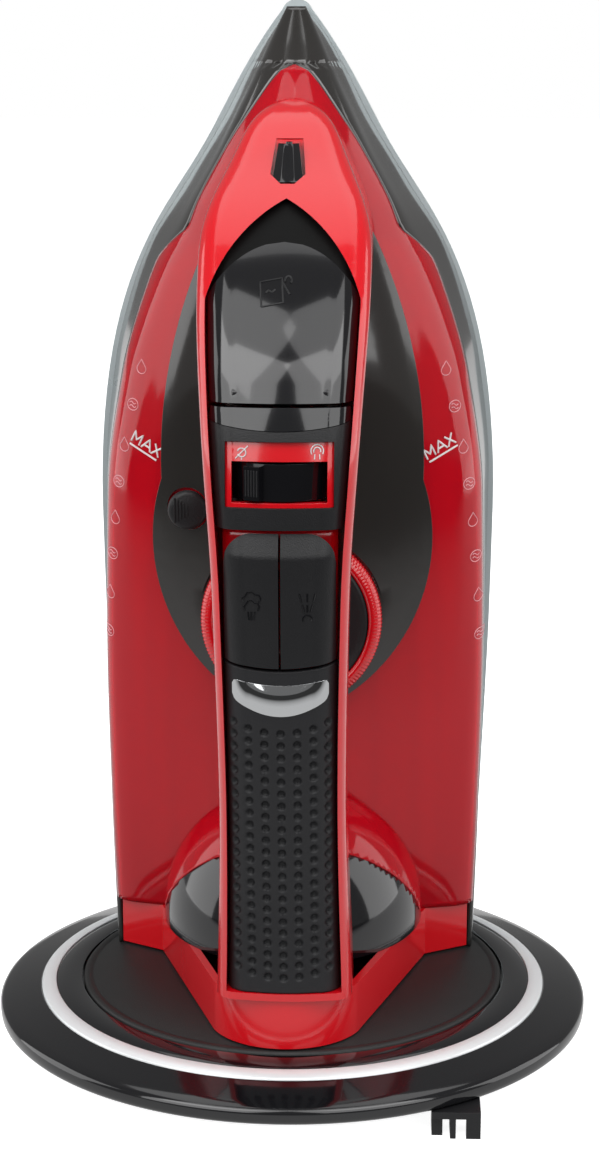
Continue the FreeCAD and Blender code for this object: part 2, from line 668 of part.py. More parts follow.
def heel_outline(inset):
    """The band round the heel: two flared corners, straight flanks and a round toe."""
    right = [Vector(53.2, 17.4, 0), Vector(40.2, 9.9, 0), Vector(20.4, -49, 0)]
    left = [Vector(-corner.x, corner.y, 0) for corner in right]
    edges = [
        Part.makeLine(right[0], right[1]),
        Part.makeLine(right[1], right[2]),
        Part.Arc(right[2], Vector(0, -62, 0), left[2]).toShape(),
        Part.makeLine(left[2], left[1]),
        Part.makeLine(left[1], left[0]),
        Part.makeLine(left[0], right[0]),
    ]
    face = Part.Face(Part.Wire(edges))
    return face.makeOffset2D(-inset) if inset else face


def heel_slab(inset, low, high):
    face = heel_outline(inset)
    face.translate(Vector(0, 0, low + heel))
    return face.extrude(Vector(0, 0, high - low))


def dome(inset):
    """The rounded housing that swells from the tank's face above the heel."""
    ball = Part.makeSphere(40 - inset)
    stretch = FreeCAD.Matrix()
    stretch.scale(0.975, 1.1, 1)
    ball = ball.transformGeometry(stretch)
    ball.translate(Vector(0, 7, heel + 17))
    return ball


def build_heel():
    top = value("Size.tank_foot")
    band = heel_slab(0, 0.6, top).cut(heel_slab(skin, 0, top + 1))
    band = band.cut(heel_slab(skin, 0, top + 1).translated(Vector(0, 4, 0)))
    keep(moulded("heel_band", band))

    foot = bar(handle_half, -0.05, -0.05, 5, 70).common(box((-30, 30), (-80, -36.9), (0, 60)))
    flare = dome(0).cut(dome(2)).common(box((-45, 45), (-60, 12), (top, 60)))
    flare = flare.cut([foot, hull_outer])
    front = side_profile([(14, 0.1), (-45, 74.5), (-70, 74.5), (-70, 0.1)], 60)
    for name, part in (("heel_cover", flare.common(front)), ("heel_dome", flare.cut(front))):
        keep(moulded(name, max(part.Solids, key=lambda solid: solid.Volume)))

    plate = heel_slab(skin + 0.1, 0.6, 3).fuse(
        hull(-skin - 0.1, 0.6, 30).common(box((-70, 70), (10, 41.8), (0.6, 3)))).cut(band)
    bore = value("Size.plug_radius + Size.plug_gap")
    plate = plate.cut(Part.makeCylinder(bore, 10, Vector(0, 0, heel - 2)))
    spots = [(-44, 32), (44, 32), (-18, -42), (18, -42)]
    stems = [Part.makeCylinder(1.6, 12, Vector(x, y, heel + 0.6)) for x, y in spots[2:]]
    plate = max(plate.cut(stems).Solids, key=lambda solid: solid.Volume)
    keep(moulded("heel_plate", plate))
    feet = [Part.makeCylinder(5, 0.6, Vector(x, y, heel)) for x, y in ((-40, 28), (40, 28), (0, -52))]
    keep(moulded("heel_feet", Part.makeCompound(feet)))
    screws = [Part.makeCylinder(1.6, 10, Vector(x, y, heel + 0.6)) for x, y in spots[2:]]
    keep(moulded("heel_screws", Part.makeCompound(screws)))

    cup = turned("socket_housing", [
        ("Size.plug_radius + Size.plug_gap", "Size.heel + 3"),
        ("Size.plug_radius + Size.plug_gap + 2", "Size.heel + 3"),
        ("Size.plug_radius + Size.plug_gap + 2", "Size.heel + 13.5"),
        ("0", "Size.heel + 13.5"), ("0", "Size.heel + 11"),
        ("Size.plug_radius + Size.plug_gap", "Size.heel + 11")])
    ring = turned("contact_ring", [("7", "Size.heel + 3"), ("8", "Size.heel + 3"),
                                   ("8", "Size.heel + 11"), ("7", "Size.heel + 11")])
    contact_pin = rod("contact_pin", 1.6, 8, (0, 0, "Size.heel + 3"))
    keep(cup, fused("socket_contacts", [ring, contact_pin]))
    wires = [hose([Vector(side * 8, 17, heel + 10), Vector(side * 32, 36, heel + 10),
                   Vector(side * 32, 36, heel + 20)], 1.3) for side in (1, -1)]
    keep(moulded("element_wires", Part.makeCompound(wires)))


build_dock()
build_sole()
build_shell()
build_handle()
build_controls()
build_water()
build_heel()
doc.recompute()

for item in doc.Objects:
    if "Invalid" in item.State or "Error" in item.State:
        raise RuntimeError(f"{item.Label} failed: {item.State}")
broken = [item.Label for item in subparts if item.Shape.isNull() or not item.Shape.isValid()]
if broken:
    raise RuntimeError(f"no valid shape: {broken}")
os.makedirs("parts", exist_ok=True)
for item in subparts:
    item.Shape.exportStep(f"parts/{item.Label}.step")
    print(item.Label, len(item.Shape.Solids), round(item.Shape.Volume))
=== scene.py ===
import bmesh
import bpy
import math
from mathutils import Matrix, Vector


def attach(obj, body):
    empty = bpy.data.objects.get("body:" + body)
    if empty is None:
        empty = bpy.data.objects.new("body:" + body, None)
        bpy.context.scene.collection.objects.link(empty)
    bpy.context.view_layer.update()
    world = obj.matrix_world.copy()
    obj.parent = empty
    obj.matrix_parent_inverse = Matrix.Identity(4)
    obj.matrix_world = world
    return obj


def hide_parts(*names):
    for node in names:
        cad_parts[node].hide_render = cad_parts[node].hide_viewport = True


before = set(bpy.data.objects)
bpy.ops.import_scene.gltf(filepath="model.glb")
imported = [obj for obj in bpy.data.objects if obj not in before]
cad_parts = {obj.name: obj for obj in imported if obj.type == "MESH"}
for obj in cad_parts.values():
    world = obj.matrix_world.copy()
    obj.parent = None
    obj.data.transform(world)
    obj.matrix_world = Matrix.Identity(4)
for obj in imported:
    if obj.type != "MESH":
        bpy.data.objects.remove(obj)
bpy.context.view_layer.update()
mm = 0.001
heel = 18  # height of the plane that the iron's heel stands on; heights on the iron start there
print("frame loaded")


def place(x, y, height):
    return Vector((x * mm, y * mm, (height + heel) * mm))


def smoothCurve(points):
    spans = list(zip(points, points[1:]))
    slopes = [(b[1] - a[1]) / (b[0] - a[0]) for a, b in spans]
    tangents = [slopes[0]]
    for before, after in zip(slopes, slopes[1:]):
        tangents.append(2 * before * after / (before + after) if before * after > 0 else 0.0)
    tangents.append(slopes[-1])

    def follow(height):
        index = sum(1 for point in points[1:-1] if height >= point[0])
        (h0, v0), (h1, v1) = spans[index]
        span = h1 - h0
        t = (height - h0) / span
        rise = (2 * t**3 - 3 * t**2 + 1) * v0 + (3 * t**2 - 2 * t**3) * v1
        lean = (t**3 - 2 * t**2 + t) * tangents[index] + (t**3 - t**2) * tangents[index + 1]
        return rise + span * lean

    return follow


def mix(a, b, share):
    return a + (b - a) * share


# the iron's outlines, as in the CAD model: half widths and depths in mm against height
soleHalf = smoothCurve([(-2, 55), (57, 57.9), (114, 59.7), (145, 60), (180, 56.5), (198, 52.1),
                        (215, 45.6), (233, 34.4), (251, 23.4), (268, 14.5), (278, 8.2), (286, 1.2)])
waistHalf = smoothCurve([(-2, 55), (45, 56.3), (95, 57.2), (143, 56.4), (178, 51.5), (205, 43),
                         (225, 33.4), (245, 22), (262, 13.4), (274, 7.6), (284, 2.4)])
shoulderHalf = smoothCurve([(-2, 53.5), (45, 54), (95, 53.2), (143, 49.5), (178, 42.5), (205, 34),
                            (225, 26), (245, 17.2), (262, 10), (274, 5.3), (284, 1.6)])
waistDepth = smoothCurve([(-2, 24), (205, 24), (245, 27), (262, 30), (284, 36)])
shoulderDepth = smoothCurve([(-2, 14), (45, 12), (95, 11), (143, 10), (225, 10), (245, 14),
                             (262, 21), (274, 28), (284, 34.6)])
faceDepth = smoothCurve([(-2, 8), (45, 2), (95, -4), (143, -8), (178, -9), (205, -6), (225, -1),
                         (245, 6), (262, 16), (274, 26), (284, 34)])
handleFront = smoothCurve([(0, -61), (20, -62.5), (50, -69), (80, -75.5), (110, -81.5),
                           (135, -84.8), (155, -85.8), (172, -84.5), (190, -78), (207, -66),
                           (222, -51), (236, -32.5), (247, -14), (255, 2), (262, 15)])
insertHalf = smoothCurve([(0, 16.4), (77, 14.9), (134, 15.7), (173, 18), (205, 20), (216, 20.4),
                          (226, 19.6), (234, 17.2), (252, 7)])
tankLine = smoothCurve([(0, 17.4), (15.3, 17.4), (79, 18.5), (155, 21), (203, 24.5), (211, 25),
                        (216.2, 20), (221.8, 13), (230, 14), (240.4, 15.5), (251.5, 16.3),
                        (263.3, 18.8), (267.5, 20.2), (290, 24)])
skirtFoot = 42  # depth of the hull's lower edge, beside the soleplate
tankTop = 267.5
hullSteps = 10
middleDepth = 45


def hullPath(height, grow=0):
    shoulder, front = shoulderHalf(height) + 0.9 * grow, shoulderDepth(height) - 0.6 * grow
    apex = faceDepth(height) - grow
    reach = 0.86
    path = []
    for index in range(hullSteps + 1):
        share = reach * index / hullSteps
        path.append(Vector((shoulder * share, apex + (front - apex) * share**2)))
    waist = Vector((waistHalf(height) + grow, waistDepth(height)))
    base = Vector((soleHalf(height) - 1.5 + grow, skirtFoot))
    start = path[-1]
    leave = Vector((shoulder, 2 * reach * (front - apex))).normalized()
    arrive = (base - waist).normalized()
    pull = 0.5 * (waist - start).length
    near, far = start + leave * pull, waist - arrive * pull
    for index in range(1, hullSteps + 1):
        t = index / hullSteps
        path.append((1 - t)**3 * start + 3 * (1 - t)**2 * t * near + 3 * (1 - t) * t**2 * far
                    + t**3 * waist)
    for index in range(1, 5):
        path.append(waist.lerp(base, index / 4))
    return path


def crossing(path, depth):
    for index, (a, b) in enumerate(zip(path, path[1:])):
        if a.y <= depth <= b.y:
            return index, a.lerp(b, (depth - a.y) / max(1e-6, b.y - a.y))
    return 0, path[0]


def hullDepth(x, height, grow=0):
    path = hullPath(height, grow)
    for a, b in zip(path, path[1:]):
        if a.x <= abs(x) <= b.x:
            return mix(a.y, b.y, (abs(x) - a.x) / max(1e-6, b.x - a.x))
    return path[-1].y


# mesh helpers
def newPiece(name, mesh, body, material, nodes=(), sharp=34):
    bmesh.ops.remove_doubles(mesh, verts=mesh.verts, dist=1e-6)
    if any(edge.is_boundary for edge in mesh.edges):  # an open sheet faces away from the iron's middle line
        mesh.normal_update()
        for face in mesh.faces:
            centre = face.calc_center_median()
            if face.normal.dot(centre - Vector((0, middleDepth * mm, centre.z))) < 0:
                face.normal_flip()
    else:
        bmesh.ops.recalc_face_normals(mesh, faces=mesh.faces)
    for face in mesh.faces:
        face.smooth = True
    for edge in mesh.edges:
        if len(edge.link_faces) == 2 and edge.calc_face_angle(0) > math.radians(sharp):
            edge.smooth = False
    data = bpy.data.meshes.new(name)
    mesh.to_mesh(data)
    mesh.free()
    piece = bpy.data.objects.new(name, data)
    bpy.context.scene.collection.objects.link(piece)
    data.materials.append(material)
    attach(piece, body)
    if nodes:
        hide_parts(*nodes)
    return piece


def shapedGrid(across, up, shape):
    mesh = bmesh.new()
    bmesh.ops.create_grid(mesh, x_segments=across, y_segments=up, size=1)
    for corner in mesh.verts:
        corner.co = shape(corner.co.x / 2 + 0.5, corner.co.y / 2 + 0.5)
    return mesh


def gather(mesh, part):
    data = bpy.data.meshes.new("part")
    part.to_mesh(data)
    part.free()
    mesh.from_mesh(data)
    bpy.data.meshes.remove(data)


def thicken(piece, thickness):
    shell = piece.modifiers.new("wall", "SOLIDIFY")
    shell.thickness = thickness * mm
    shell.offset = -1


def soften(piece, width, segments=3, angle=32):
    edge = piece.modifiers.new("edge", "BEVEL")
    edge.width = width * mm
    edge.segments = segments
    edge.limit_method = "ANGLE"
    edge.angle_limit = math.radians(angle)
    edge.harden_normals = True


def spun(profile, steps=192, centre=None, angle=360):
    mesh = bmesh.new()
    middle = Vector((0, 0, 0)) if centre is None else centre
    axis = Vector((0, 0, 1)) if centre is None else Vector((0, 1, 0))
    outward = Vector((1, 0, 0))
    corners = [mesh.verts.new(middle + (radius * outward + along * axis) * mm)
               for radius, along in profile]
    edges = [mesh.edges.new(pair) for pair in zip(corners, corners[1:])]
    bmesh.ops.spin(mesh, geom=corners + edges, cent=middle, axis=axis, dvec=(0, 0, 0),
                   angle=math.radians(angle), steps=steps, use_merge=angle == 360)
    return mesh


def dress(name, node, body, material, bevel=0.0, sharp=34):
    mesh = bmesh.new()
    mesh.from_mesh(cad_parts[node].data)
    piece = newPiece(name, mesh, body, material, [node], sharp)
    if bevel:
        soften(piece, bevel)
    return piece


print("helpers ready")


# materials
def mouldedGroup():
    group = bpy.data.node_groups.new("mouldedSurface", "ShaderNodeTree")
    for socket, low in (("Scale", 100.0), ("Rough", 0.2), ("Spread", 0.04)):
        group.interface.new_socket(socket, in_out="INPUT", socket_type="NodeSocketFloat")
        group.interface.items_tree[-1].default_value = low
    for socket in ("Roughness", "Height", "Tone"):
        group.interface.new_socket(socket, in_out="OUTPUT", socket_type="NodeSocketFloat")
    nodes, links = group.nodes, group.links
    entry = nodes.new("NodeGroupInput")
    leave = nodes.new("NodeGroupOutput")
    where = nodes.new("ShaderNodeTexCoord")
    fine = nodes.new("ShaderNodeTexNoise")
    broad = nodes.new("ShaderNodeTexNoise")
    broad.inputs["Scale"].default_value = 14
    broad.inputs["Detail"].default_value = 3
    fine.inputs["Detail"].default_value = 4
    links.new(where.outputs["Object"], fine.inputs["Vector"])
    links.new(where.outputs["Object"], broad.inputs["Vector"])
    links.new(entry.outputs["Scale"], fine.inputs["Scale"])
    centred = nodes.new("ShaderNodeMath")
    centred.operation = "SUBTRACT"
    centred.inputs[1].default_value = 0.5
    links.new(broad.outputs["Fac"], centred.inputs[0])
    swing = nodes.new("ShaderNodeMath")
    swing.operation = "MULTIPLY_ADD"
    links.new(centred.outputs[0], swing.inputs[0])
    links.new(entry.outputs["Spread"], swing.inputs[1])
    links.new(entry.outputs["Rough"], swing.inputs[2])
    links.new(swing.outputs[0], leave.inputs["Roughness"])
    links.new(fine.outputs["Fac"], leave.inputs["Height"])
    links.new(broad.outputs["Fac"], leave.inputs["Tone"])
    return group


moulded = mouldedGroup()


def newMaterial(name, dark, light, rough, spread=0.05, grain=900, bump=0.02, **fixed):
    material = bpy.data.materials.new(name)
    material.use_nodes = True
    nodes, links = material.node_tree.nodes, material.node_tree.links
    shader = nodes["Principled BSDF"]
    surface = nodes.new("ShaderNodeGroup")
    surface.node_tree = moulded
    surface.inputs["Scale"].default_value = grain
    surface.inputs["Rough"].default_value = rough
    surface.inputs["Spread"].default_value = spread
    tint = nodes.new("ShaderNodeMix")
    tint.data_type = "RGBA"
    tint.inputs["A"].default_value = (*dark, 1)
    tint.inputs["B"].default_value = (*light, 1)
    relief = nodes.new("ShaderNodeBump")
    relief.inputs["Strength"].default_value = bump
    relief.inputs["Distance"].default_value = 0.0004
    links.new(surface.outputs["Tone"], tint.inputs["Factor"])
    links.new(tint.outputs["Result"], shader.inputs["Base Color"])
    links.new(surface.outputs["Roughness"], shader.inputs["Roughness"])
    links.new(surface.outputs["Height"], relief.inputs["Height"])
    links.new(relief.outputs["Normal"], shader.inputs["Normal"])
    for socket, number in fixed.items():
        shader.inputs[socket.replace("_", " ")].default_value = number
    return material


redGloss = newMaterial("redGloss", (0.52, 0.002, 0.006), (0.62, 0.003, 0.010), 0.16,
                       Coat_Weight=0.5, Coat_Roughness=0.06)
clearRed = newMaterial("clearRed", (0.70, 0.004, 0.016), (0.82, 0.006, 0.024), 0.07, 0.02,
                       bump=0.004, Transmission_Weight=0.6, IOR=1.45)
linerRed = newMaterial("linerRed", (0.70, 0.004, 0.018), (0.86, 0.006, 0.026), 0.5, bump=0.05)
ribRed = newMaterial("ribRed", (0.20, 0.002, 0.010), (0.28, 0.003, 0.016), 0.4, bump=0.02)
smokeGloss = newMaterial("smokeGloss", (0.014, 0.013, 0.012), (0.022, 0.020, 0.018), 0.15,
                         Coat_Weight=0.8, Coat_Roughness=0.08)
blackGloss = newMaterial("blackGloss", (0.003, 0.003, 0.004), (0.006, 0.006, 0.007), 0.10, 0.03,
                         bump=0.006, Coat_Weight=0.5, Coat_Roughness=0.04)
blackSatin = newMaterial("blackSatin", (0.006, 0.006, 0.007), (0.010, 0.010, 0.011), 0.42, 0.08,
                         grain=2600, bump=0.25, Specular_IOR_Level=0.35)
# painted shade: black plastic darkened further, with its specular cut, to stand in for the shadow inside
# the arch recess
recessShadeBlack = newMaterial("recessShadeBlack", (0.002, 0.002, 0.002), (0.004, 0.004, 0.004), 0.5, 0.08,
                        grain=2600, bump=0.1, Specular_IOR_Level=0.1)
dockMatte = newMaterial("dockMatte", (0.010, 0.010, 0.010), (0.016, 0.016, 0.016), 0.5, 0.08,
                        grain=2600, bump=0.3, Specular_IOR_Level=0.35)
gripRubber = newMaterial("gripRubber", (0.010, 0.010, 0.011), (0.015, 0.015, 0.017), 0.56, 0.08,
                         grain=2200, bump=0.2, Specular_IOR_Level=0.35)
silverTrim = newMaterial("silverTrim", (0.74, 0.76, 0.77), (0.80, 0.82, 0.83), 0.34, 0.06,
                         grain=1500, bump=0.08, Metallic=0.3)
soleCoat = newMaterial("soleCoat", (0.50, 0.56, 0.58), (0.60, 0.66, 0.67), 0.28, 0.06, bump=0.05,
                       Metallic=0.35)
mirrorLens = newMaterial("mirrorLens", (0.50, 0.51, 0.52), (0.58, 0.59, 0.60), 0.06, 0.03,
                         bump=0.004, Metallic=1.0, Coat_Weight=1.0, Coat_Roughness=0.02)
brightMetal = newMaterial("brightMetal", (0.72, 0.72, 0.72), (0.82, 0.82, 0.82), 0.2, 0.06,
                          Metallic=1.0)
brassMetal = newMaterial("brassMetal", (0.62, 0.42, 0.16), (0.72, 0.52, 0.22), 0.28, 0.06,
                         Metallic=1.0)
castMetal = newMaterial("castMetal", (0.42, 0.43, 0.44), (0.52, 0.53, 0.54), 0.5, 0.1, grain=500,
                        bump=0.5, Metallic=0.9)
paleNylon = newMaterial("paleNylon", (0.62, 0.60, 0.56), (0.70, 0.68, 0.64), 0.5, bump=0.1)
siliconeHose = newMaterial("siliconeHose", (0.5, 0.5, 0.48), (0.6, 0.6, 0.58), 0.4, bump=0.05)
footRubber = newMaterial("footRubber", (0.02, 0.02, 0.02), (0.03, 0.03, 0.03), 0.8, bump=0.3)
printWhite = newMaterial("printWhite", (0.62, 0.60, 0.61), (0.72, 0.70, 0.70), 0.4, bump=0.02)
printPink = newMaterial("printPink", (0.66, 0.30, 0.34), (0.74, 0.36, 0.40), 0.4, bump=0.02)
lampGlass = newMaterial("lampGlass", (0.75, 0.3, 0.12), (0.85, 0.38, 0.18), 0.15, bump=0.01,
                        Transmission_Weight=0.4)
print("materials ready")


# power base
dock = {"ringOuter": 75.6, "ringInner": 71.2}


def buildDock():
    top = spun([(85.6, 8), (87.2, 8), (87.9, 8.7), (88, 9.6), (88, 11.4), (87.6, 12.2),
                 (86.6, 12.75), (84, 13.45), (80, 14.5), (dock["ringOuter"] + 0.3, 15.55),
                 (dock["ringOuter"], 15.3), (dock["ringOuter"], 14.4), (dock["ringInner"], 15.5),
                 (dock["ringInner"], 16.5), (dock["ringInner"] - 0.3, 16.75), (67.5, 17.3),
                 (64.2, 17.6), (63.6, 17.4), (63.5, 14), (15.1, 14), (15.1, 11.8), (62, 11.8),
                 (70, 12.4), (85.6, 9.8), (85.6, 8)], 256)
    newPiece("dockTop", top, "base", blackGloss, ["base_top"], 50)
    outer, inner = dock["ringOuter"] - 0.05, dock["ringInner"] + 0.05
    ring = spun([(outer, 14.6), (outer, 15.75), (outer - 0.35, 16.1), (inner + 0.35, 17.02),
                  (inner, 16.8), (inner, 15.6), (outer, 14.6)], 256)
    newPiece("dockRing", ring, "base", silverTrim, ["trim_ring"], 50)
    plate = spun([(17, 14.4), (62.9, 14.4), (62.9, 17.3), (62.4, 17.9), (61.9, 18), (60.8, 18),
                   (60.5, 17.75), (60.0, 17.75), (59.7, 18), (17.5, 18), (17, 17.6), (17, 14.4)],
                  256)
    newPiece("turnPlate", plate, "turntable", dockMatte, ["turntable"], 40)
    dress("dockTray", "base_tray", "base", blackSatin, 0.5)
    dress("dockFeet", "base_feet", "base", footRubber, 0.6)
    dress("dockScrews", "base_screws", "base", brightMetal, 0.2)
    dress("dockPlug", "power_connector", "base", blackSatin, 0.3)
    dress("dockContacts", "connector_contacts", "base", brassMetal)
    dress("cordGuide", "cord_guide", "base", blackSatin, 0.5)
    dress("glideRing", "glide_ring", "base", paleNylon)


buildDock()
print("dock ready")


# body shells
tank = {"foot": 15.3, "top": 267.2, "wall": 1.8, "linerGap": 4.5, "linerHalf": 0.86,
        "linerFoot": 19, "linerTop": 256, "rib": 1.1, "ribSides": (24, 36, 43), "ribFoot": 24,
        "ribTop": 196, "ribSink": 3.2}
skirtShape = {"wall": 1.8, "nose": 283.4}


def onPath(path, share):
    runs = [(b - a).length for a, b in zip(path, path[1:])]
    goal = sum(runs) * min(1, max(0, share))
    for index, run in enumerate(runs):
        if goal <= run or index == len(runs) - 1:
            return path[index].lerp(path[index + 1], min(1, goal / max(1e-9, run)))
        goal -= run


def tankPath(height, grow=0.0):
    path = hullPath(height, grow)
    index, edge = crossing(path, tankLine(height))
    return path[:index + 1] + [edge]


def mirrored(path, across):
    point = onPath(path, abs(2 * across - 1))
    return math.copysign(1, across - 0.5) * point.x, point.y


def buildTank():
    def outside(across, up):
        height = mix(tank["foot"], tank["top"], up)
        return place(*mirrored(tankPath(height), across), height)

    shell = newPiece("tankShell", shapedGrid(72, 150, outside), "iron", clearRed,
                     ["water_tank"], 60)
    thicken(shell, tank["wall"])

    def lining(across, up):
        height = mix(tank["linerFoot"], tank["linerTop"], up)
        side = (2 * across - 1) * tank["linerHalf"]
        return place(*mirrored(tankPath(height, -tank["linerGap"]), side / 2 + 0.5), height)

    liner = newPiece("tankLiner", shapedGrid(60, 110, lining), "iron", linerRed,
                     (), 60)
    thicken(liner, 0.8)
    ribs = bmesh.new()
    for distance in tank["ribSides"]:
        for side in (1, -1):
            def strip(across, up, x=side * distance):
                height = mix(tank["ribFoot"], tank["ribTop"], up)
                lean = x * shoulderHalf(height) / shoulderHalf(100)
                width = (across - 0.5) * tank["rib"]
                return place(lean + width, hullDepth(lean, height) + tank["ribSink"], height)

            gather(ribs, shapedGrid(1, 40, strip))
    thicken(newPiece("tankRibs", ribs, "iron", ribRed), 0.8)


def buildSkirt():
    mesh = bmesh.new()

    def rearPath(height):
        path = hullPath(height)
        line = tankLine(height)
        if path[0].y >= line:
            return path
        index, edge = crossing(path, line)
        return [edge] + path[index + 1:]

    for side in (1, -1):
        def flank(across, up, side=side):
            height = mix(0, tankTop, up)
            spot = onPath(rearPath(height), across)
            return place(side * spot.x, spot.y, height)

        gather(mesh, shapedGrid(16, 120, flank))

    def nose(across, up):
        height = mix(tankTop, skirtShape["nose"], up)
        return place(*mirrored(hullPath(height), across), height)

    part = shapedGrid(48, 14, nose)
    tip = [edge for edge in part.edges if edge.is_boundary and
           min(corner.co.z for corner in edge.verts) > (skirtShape["nose"] + heel - 0.01) * mm]
    bmesh.ops.edgeloop_fill(part, edges=tip)
    gather(mesh, part)
    skirt = newPiece("skirtShell", mesh, "iron", smokeGloss, ["skirt"], 40)
    thicken(skirt, skirtShape["wall"])


buildTank()
buildSkirt()
print("shells ready")


# handle
crown = {"inset": 0.35, "corner": 6.5, "cornerShare": 0.45, "level": 0.6, "rise": 0.06}
grip = {"low": 17.7, "high": 115.2, "columns": 7, "pitch": 4.3, "rows": 22, "rise": 3.58,
        "first": 22.4, "smile": 3.0, "radius": 1.25, "depth": 1.15, "topSmile": 1.8, "topHalf": 15}
keyCap = {"inner": 0.3, "outer": 14.5, "top": 152.4, "low": 116.4, "corner": 7.5, "proud": 0.85,
          "facet": 146.4, "thick": 3.0}
keyBed = {"half": 14.9, "low": 115.6, "top": 153.3, "sink": 6.4}
lens = {"half": 12.7, "top": 113.1, "low": 102.6, "topSag": 1.6, "lowSag": 4.9, "corner": 1.4}
lever = {"axis": -70.9, "height": 165.6, "face": -87.55, "turn": -25, "ridges": 5, "pitch": 0.8}
door = {"low": 185.3, "top": 223.3, "half": 20.4, "shoulder": 208.5, "barrel": (-77.2, 187, 2.2, 25)}


def crownPoint(across, height, inset=crown["inset"]):
    half = insertHalf(height) - inset
    corner = min(crown["corner"], crown["cornerShare"] * half)
    flat, side, level = half - corner, 2 * across - 1, crown["level"]
    front, rise = handleFront(height), crown["rise"] * half
    if abs(side) <= level:
        x = side / level * flat
        return x, front - rise * (1 - (x / flat)**2), 0.0, x
    turn = (abs(side) - level) / (1 - level) * math.pi / 2
    x = math.copysign(flat + corner * math.sin(turn), side)
    run = math.copysign(flat + corner * turn, side)
    return x, front + corner * (1 - math.cos(turn)), math.copysign(turn, side), run


def crownDepth(x, height):
    half = insertHalf(height) - crown["inset"]
    corner = min(crown["corner"], crown["cornerShare"] * half)
    flat = half - corner
    front = handleFront(height)
    if abs(x) <= flat:
        return front - crown["rise"] * half * (1 - (x / flat)**2)
    return front + corner * (1 - math.sqrt(max(0, 1 - ((abs(x) - flat) / corner)**2)))


def dent(run, height):
    column = round(run / grip["pitch"])
    if abs(column) > grip["columns"] // 2:
        return 0
    foot = grip["first"] + grip["smile"] * (column / (grip["columns"] // 2))**2
    row = round((height - foot) / grip["rise"])
    if not 0 <= row < grip["rows"]:
        return 0
    away = math.hypot(run - column * grip["pitch"], height - foot - row * grip["rise"])
    share = max(0, 1 - away / grip["radius"])
    return grip["depth"] * min(1, 2.4 * share)


def buildGrip():
    def surface(across, up):
        x = crownPoint(across, mix(grip["low"], grip["high"], up))[0]
        top = grip["high"] + grip["topSmile"] * min(1, x / grip["topHalf"])**2
        height = mix(grip["low"], top, up)
        x, y, turn, run = crownPoint(across, height)
        sink = dent(run, height)
        return place(x - sink * math.sin(turn), y + sink * math.cos(turn), height)

    cover = newPiece("gripCover", shapedGrid(118, 262, surface), "iron", gripRubber,
                     ["grip_cover"], 70)
    thicken(cover, 1.8)


def buildKeys():
    radius, outer = keyCap["corner"], keyCap["outer"]
    for name, side in (("steam", -1), ("spray", 1)):
        def surface(across, up, side=side):
            x = mix(keyCap["inner"], outer, across)
            bend = max(0, (x - outer + radius) / radius)
            top = keyCap["top"] - radius * (1 - math.sqrt(max(0, 1 - bend**2)))
            low = keyCap["low"] + 1.7 * (x / outer)**2
            height = mix(low, top, up)
            y = crownDepth(x, height) - keyCap["proud"]
            y += 0.42 * max(0, height - keyCap["facet"] - 0.5 * (x / outer)**2)
            return place(side * x, y, height)

        cap = newPiece(name + "Key", shapedGrid(30, 48, surface), name + "_key", blackSatin,
                       [name + "_button"], 50)
        thicken(cap, keyCap["thick"])
        soften(cap, 0.55, 3, 40)

    def bed(across, up):
        x = mix(-keyBed["half"], keyBed["half"], across)
        height = mix(keyBed["low"], keyBed["top"], up)
        return place(x, crownDepth(x * 0.8, height) + keyBed["sink"], height)

    bedPiece = newPiece("keyBed", shapedGrid(12, 12, bed), "iron", redGloss)
    thicken(bedPiece, 0.8)


def buildLens():
    def surface(across, up):
        x = mix(-lens["half"], lens["half"], across)
        share = (x / lens["half"])**2
        edge = max(0, (abs(x) - lens["half"] + lens["corner"]) / lens["corner"])
        drop = lens["corner"] * (1 - math.sqrt(max(0, 1 - edge**2)))
        top = lens["top"] - lens["topSag"] * (1 - share) - drop
        low = lens["low"] + lens["lowSag"] * share + drop
        height = mix(low, top, up)
        bulge = 1.3 * math.sin(math.pi * up)
        return place(x, crownDepth(x, height) - 0.15 - bulge * (1 - share), height)

    glass = newPiece("lensGlass", shapedGrid(48, 20, surface), "iron", mirrorLens,
                     ["indicator_lens"], 60)
    thicken(glass, 0.5)
    soften(glass, 0.12, 2)


def buildDoor():
    def surface(across, up):
        height = mix(door["low"], door["top"], up)
        climb = max(0, (height - door["shoulder"]) / (door["top"] - door["shoulder"]))
        arch = door["half"] * math.sqrt(max(0, 1 - climb**1.3))
        side = insertHalf(height) - 0.45
        x = crownPoint(across, height, 0.45)[0] * min(1, arch / side)
        return place(x, crownDepth(x, height), height)

    leaf = newPiece("doorLeaf", shapedGrid(48, 60, surface), "door", blackGloss,
                    ["inlet_door"], 60)
    thicken(leaf, 1.9)
    soften(leaf, 0.3, 2, 50)
    depth, height, radius, length = door["barrel"]
    barrel = bmesh.new()
    bmesh.ops.create_cone(barrel, cap_ends=True, segments=48, radius1=radius * mm,
                          radius2=radius * mm, depth=length * mm)
    bmesh.ops.rotate(barrel, verts=barrel.verts, cent=(0, 0, 0),
                     matrix=Matrix.Rotation(math.pi / 2, 3, "Y"))
    bmesh.ops.translate(barrel, verts=barrel.verts, vec=place(0, depth, height))
    soften(newPiece("doorBarrel", barrel, "door", blackGloss), 0.4)


